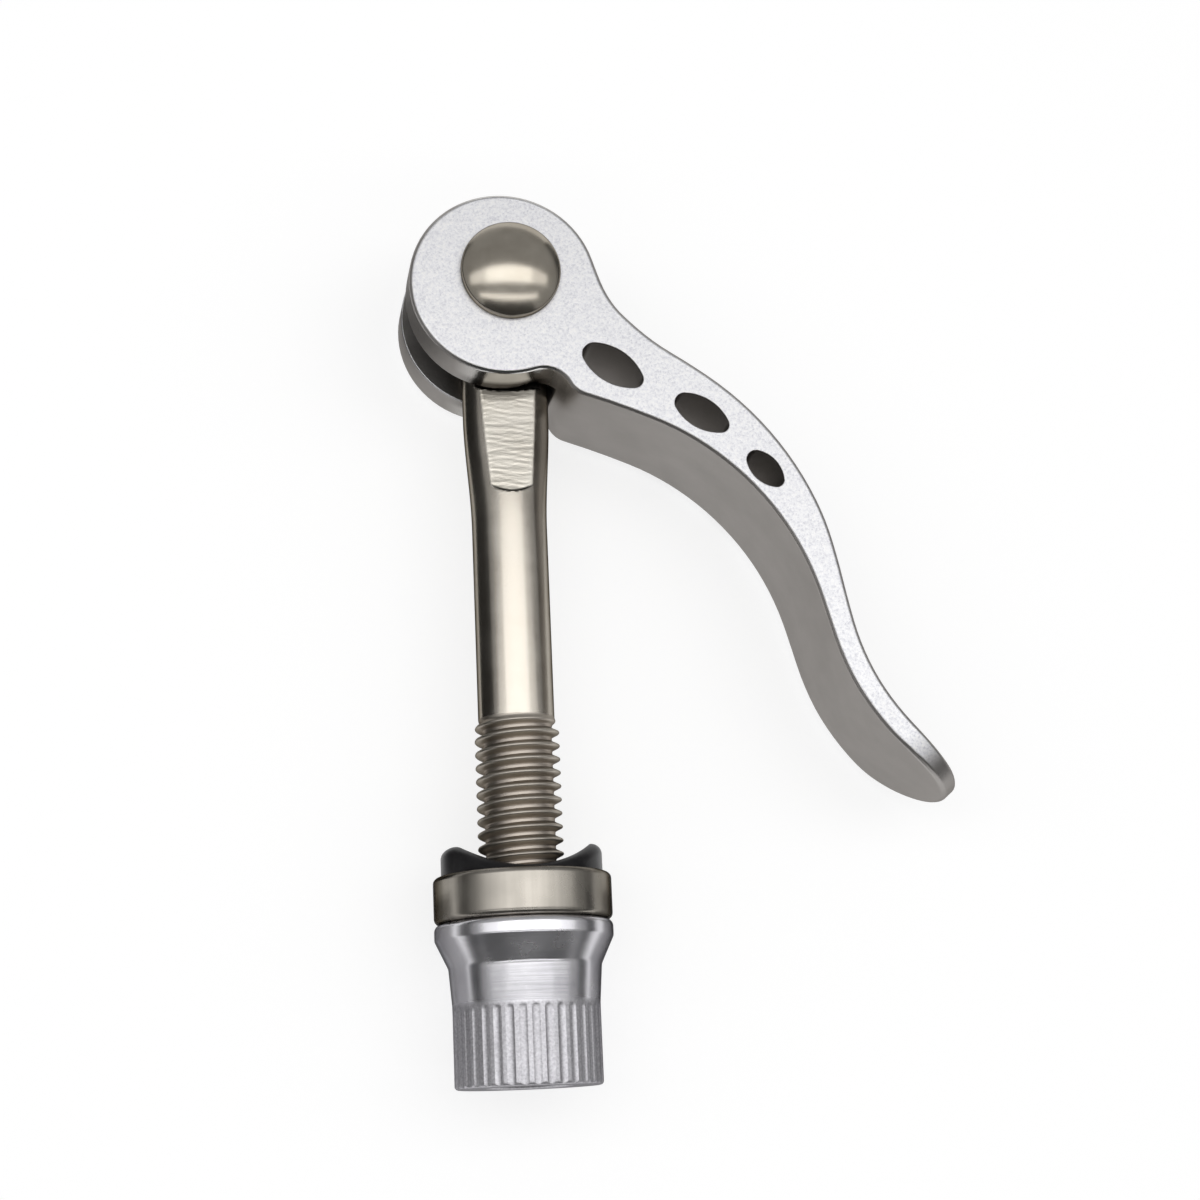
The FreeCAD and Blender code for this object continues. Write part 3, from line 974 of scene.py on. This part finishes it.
white = matt_paint("table", WHITE)
rays = white.add("LightPath").outputs
seen = white.math("MAXIMUM", rays["Is Camera Ray"], rays["Is Glossy Ray"])
seen = white.math("MAXIMUM", seen, rays["Is Transmission Ray"])
seen = white.math("MULTIPLY", seen, GLOW_SHARE)
glow = white.add("Emission", {"Strength": GLOW})
both = white.add("MixShader", {0: seen, 1: white.shader.outputs[0], 2: glow.outputs[0]})
white.tree.links.new(both.outputs[0], white.tree.nodes["Material Output"].inputs[0])
far_corners = [(-FAR, -FAR), (FAR, -FAR), (FAR, FAR), (-FAR, FAR)]
table = board("table", [(*corner, TABLE_Z) for corner in far_corners], white)
print(table.name, "at", TABLE_Z, "mm, glowing share", GLOW_SHARE)

# %% [markdown]
# Bright metal on a white table would lose its edges, because it mirrors the white. A darker room
# would draw them, but it would grey the table. So dark boards stand left, right and in front, with
# a low dark kerb beside the bolt and two grey ones beside the nut. Only mirror images show them:
# the camera, the soft light and the shadows pass through.

# %% Boards for the metal to mirror
BOARD_FOOT = -9
DARK = 0.07
GREY = 0.8
# Each board stands on a line between two places on the table, and has a top and a tone.
boards = {
    "board_left": ((-85, -150), (-85, 150), 24, DARK),
    "board_right": ((105, -150), (105, 150), 24, DARK),
    "board_front": ((-300, -260), (300, -260), 330, DARK),
    "board_kerb": ((-14, -24), (-14, 34), 2, DARK),
    "board_nut_left": ((-13, -46), (-13, -26), 2, GREY),
    "board_nut_right": ((13, -46), (13, -26), 2, GREY),
}
for name, (start, stop, top, tone) in boards.items():
    corners = [(*start, BOARD_FOOT), (*stop, BOARD_FOOT), (*stop, top), (*start, top)]
    upright = board(name, corners, matt_paint(name, tone))
    upright.visible_camera = False
    upright.visible_diffuse = False
    upright.visible_shadow = False
    print(name, "from", start, "to", stop, "mm")

# %% [markdown]
# A spot lamp would leave hard glints, so the light is made of three area lamps, as for a product
# picture: a soft box above, a wider one at the same place that reaches past its ends, and a narrow
# strip further to the front. The boxes draw a bright band with soft ends along the round metal, the
# strip a second, thinner one. The room around is plain grey.

# %% The room and the lamps
ROOM = 0.32
LAMP_Z = 0.5  # in metres, as the lamps' sizes
world = bpy.data.worlds.new("studio")
bpy.context.scene.world = world
world.use_nodes = True
room = world.node_tree.nodes["Background"]
room.inputs["Color"].default_value = (ROOM, ROOM, ROOM, 1)
room.inputs["Strength"].default_value = 1.0
# Each lamp: how wide and how deep it is, its watts, and its place along the bolt.
lamps = {
    "softbox": (0.7, 0.24, 0.84, 0.055),
    "wide_box": (1.8, 0.24, 1.25, 0.055),
    "strip": (1.2, 0.1, 0.6, -0.3),
}
for name, (wide, deep, watt, along) in lamps.items():
    lamp = bpy.data.lights.new(name, "AREA")
    lamp.shape = "RECTANGLE"
    lamp.size = wide
    lamp.size_y = deep
    lamp.energy = watt
    put_in(name, lamp).location = (0.0, along, LAMP_Z)
    print(name, watt, "W over", wide, "x", deep, "m")

# %% [markdown]
# The camera looks steeply down on the lying part, turned a little. It could be aimed at a target,
# but its place and axes were worked out from the part's outlines in the picture, so they are given
# as they are: a place, the direction to the right and the direction up. The third stands on both.

# %% Camera
LENS = 70.67
SENSOR = 36
NEAREST = 0.01  # in metres
CAMERA_PLACE = np.array([-26.82, -50.08, 213.82])
CAMERA_RIGHT = np.array([0.9874, -0.0434, 0.1521])
CAMERA_UP = np.array([0.0067, 0.9723, 0.2337])
camera_data = bpy.data.cameras.new("camera")
camera_data.lens = LENS
camera_data.sensor_width = SENSOR
camera_data.clip_start = NEAREST
camera = put_in("camera", camera_data)
turn = np.eye(4)
turn[:3, :3] = np.stack([CAMERA_RIGHT, CAMERA_UP, np.cross(CAMERA_RIGHT, CAMERA_UP)], 1)
turn[:3, 3] = CAMERA_PLACE * MM
camera.matrix_world = turn.T.tolist()
bpy.context.scene.camera = camera
bpy.context.scene.view_settings.view_transform = "Standard"
print("camera at", [round(v, 4) for v in camera.location])

# %% [markdown]
